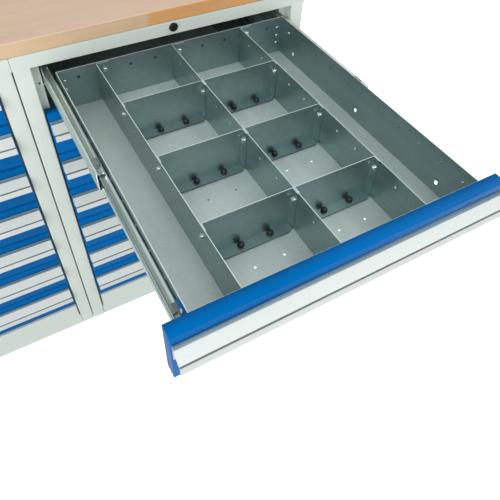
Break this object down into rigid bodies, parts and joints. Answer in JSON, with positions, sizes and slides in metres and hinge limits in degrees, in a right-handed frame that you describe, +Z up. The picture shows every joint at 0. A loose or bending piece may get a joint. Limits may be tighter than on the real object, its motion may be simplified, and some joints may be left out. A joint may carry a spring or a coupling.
{
  "type": "workbench with drawers",
  "caption": "Workbench: two steel drawer cabinets side by side under a beech worktop, top right drawer open with partitions.",
  "frame": {"origin": "middle of the bounding box's footprint at rest, with the top right drawer open, on the floor", "axes": "+Z up; drawers open towards -Y; +X along the bench, to the right as seen from the front"},
  "size_m": [1.25, 1.1862, 0.826],
  "materials": {
    "beech": "oiled beech lamellas",
    "grey_paint": "fine powder coat, light grey",
    "blue_paint": "smooth powder coat, blue",
    "galvanised": "bright galvanised sheet",
    "aluminium": "satin anodised, natural",
    "zinc_plate": "zinc-plated, lightly oiled",
    "black_plastic": "moulded black"
  },
  "bodies": {
    "bench": {"worktop": "beech", "left_cabinet_left_side": "grey_paint", "left_cabinet_right_side": "grey_paint", "left_cabinet_top_cover": "grey_paint", "left_cabinet_base": "grey_paint", "left_cabinet_back": "grey_paint", "right_cabinet_left_side": "grey_paint", "right_cabinet_right_side": "grey_paint", "right_cabinet_top_cover": "grey_paint", "right_cabinet_base": "grey_paint", "right_cabinet_back": "grey_paint", "right_drawer_1_left_slide_cabinet_member": "zinc_plate", "right_drawer_1_right_slide_cabinet_member": "zinc_plate"},
    "left_lock": {"left_lock": "black_plastic"},
    "left_locking_bar": {"left_locking_bar": "zinc_plate"},
    "left_drawer_1": {"left_drawer_1_front": "blue_paint", "left_drawer_1_tub": "galvanised"},
    "left_drawer_2": {"left_drawer_2_front": "blue_paint", "left_drawer_2_tub": "galvanised"},
    "left_drawer_3": {"left_drawer_3_front": "blue_paint", "left_drawer_3_tub": "galvanised"},
    "left_drawer_4": {"left_drawer_4_front": "blue_paint", "left_drawer_4_tub": "galvanised"},
    "left_drawer_5": {"left_drawer_5_front": "blue_paint", "left_drawer_5_tub": "galvanised"},
    "left_drawer_6": {"left_drawer_6_front": "blue_paint", "left_drawer_6_tub": "galvanised"},
    "left_drawer_7": {"left_drawer_7_front": "blue_paint", "left_drawer_7_tub": "galvanised"},
    "right_lock": {"right_lock": "black_plastic"},
    "right_locking_bar": {"right_locking_bar": "zinc_plate"},
    "right_drawer_1_slide_middles": {"right_drawer_1_left_slide_middle_member": "zinc_plate", "right_drawer_1_right_slide_middle_member": "zinc_plate"},
    "right_drawer_1": {"right_drawer_1_front": "blue_paint", "right_drawer_1_tub": "galvanised", "right_drawer_1_grip_strip": "aluminium", "right_drawer_1_partition_1": "galvanised", "right_drawer_1_partition_2": "galvanised", "right_drawer_1_partition_3": "galvanised", "right_drawer_1_divider_1_1": "galvanised", "right_drawer_1_divider_1_2": "galvanised", "right_drawer_1_divider_1_3": "galvanised", "right_drawer_1_divider_2_1": "galvanised", "right_drawer_1_divider_2_2": "galvanised", "right_drawer_1_divider_2_3": "galvanised", "right_drawer_1_left_slide_drawer_member": "zinc_plate", "right_drawer_1_right_slide_drawer_member": "zinc_plate"},
    "right_drawer_2": {"right_drawer_2_front": "blue_paint", "right_drawer_2_tub": "galvanised"},
    "right_drawer_3": {"right_drawer_3_front": "blue_paint", "right_drawer_3_tub": "galvanised"},
    "right_drawer_4": {"right_drawer_4_front": "blue_paint", "right_drawer_4_tub": "galvanised"},
    "right_drawer_5": {"right_drawer_5_front": "blue_paint", "right_drawer_5_tub": "galvanised"},
    "right_drawer_6": {"right_drawer_6_front": "blue_paint", "right_drawer_6_tub": "galvanised"},
    "right_drawer_7": {"right_drawer_7_front": "blue_paint", "right_drawer_7_tub": "galvanised"}
  },
  "joints": [
    {"name": "left_lock_turn", "type": "hinge", "parent": "bench", "child": "left_lock", "pos_m": [-0.29, -0.0069, 0.789], "axis": [0, 1, 0], "range_deg": [0, 90]},
    {"name": "left_locking_bar_drop", "type": "slide", "parent": "bench", "child": "left_locking_bar", "axis": [0, 0, -1], "range_m": [0, 0.0094]},
    {"name": "left_drawer_1_pull", "type": "slide", "parent": "bench", "child": "left_drawer_1", "axis": [0, -1, 0], "range_m": [0, 0.5676]},
    {"name": "left_drawer_2_pull", "type": "slide", "parent": "bench", "child": "left_drawer_2", "axis": [0, -1, 0], "range_m": [0, 0.5676]},
    {"name": "left_drawer_3_pull", "type": "slide", "parent": "bench", "child": "left_drawer_3", "axis": [0, -1, 0], "range_m": [0, 0.5676]},
    {"name": "left_drawer_4_pull", "type": "slide", "parent": "bench", "child": "left_drawer_4", "axis": [0, -1, 0], "range_m": [0, 0.5676]},
    {"name": "left_drawer_5_pull", "type": "slide", "parent": "bench", "child": "left_drawer_5", "axis": [0, -1, 0], "range_m": [0, 0.5676]},
    {"name": "left_drawer_6_pull", "type": "slide", "parent": "bench", "child": "left_drawer_6", "axis": [0, -1, 0], "range_m": [0, 0.5676]},
    {"name": "left_drawer_7_pull", "type": "slide", "parent": "bench", "child": "left_drawer_7", "axis": [0, -1, 0], "range_m": [0, 0.5676]},
    {"name": "right_lock_turn", "type": "hinge", "parent": "bench", "child": "right_lock", "pos_m": [0.29, -0.0069, 0.789], "axis": [0, 1, 0], "range_deg": [0, 90]},
    {"name": "right_locking_bar_drop", "type": "slide", "parent": "bench", "child": "right_locking_bar", "axis": [0, 0, -1], "range_m": [0, 0.0094]},
    {"name": "right_drawer_1_pull", "type": "slide", "parent": "bench", "child": "right_drawer_1", "axis": [0, -1, 0], "range_m": [-0.5676, 0]},
    {"name": "right_drawer_1_slide_middle_travel", "type": "slide", "parent": "bench", "child": "right_drawer_1_slide_middles", "axis": [0, -1, 0], "range_m": [-0.2843, 0]},
    {"name": "right_drawer_2_pull", "type": "slide", "parent": "bench", "child": "right_drawer_2", "axis": [0, -1, 0], "range_m": [0, 0.5676]},
    {"name": "right_drawer_3_pull", "type": "slide", "parent": "bench", "child": "right_drawer_3", "axis": [0, -1, 0], "range_m": [0, 0.5676]},
    {"name": "right_drawer_4_pull", "type": "slide", "parent": "bench", "child": "right_drawer_4", "axis": [0, -1, 0], "range_m": [0, 0.5676]},
    {"name": "right_drawer_5_pull", "type": "slide", "parent": "bench", "child": "right_drawer_5", "axis": [0, -1, 0], "range_m": [0, 0.5676]},
    {"name": "right_drawer_6_pull", "type": "slide", "parent": "bench", "child": "right_drawer_6", "axis": [0, -1, 0], "range_m": [0, 0.5676]},
    {"name": "right_drawer_7_pull", "type": "slide", "parent": "bench", "child": "right_drawer_7", "axis": [0, -1, 0], "range_m": [0, 0.5676]}
  ],
  "couplings": [
    {"joint": "left_lock_turn", "follows": "left_locking_bar_drop", "rad_per_m": 166.67},
    {"joint": "right_lock_turn", "follows": "right_locking_bar_drop", "rad_per_m": 166.67},
    {"joint": "right_drawer_1_slide_middle_travel", "follows": "right_drawer_1_pull", "ratio": 0.5}
  ]
}
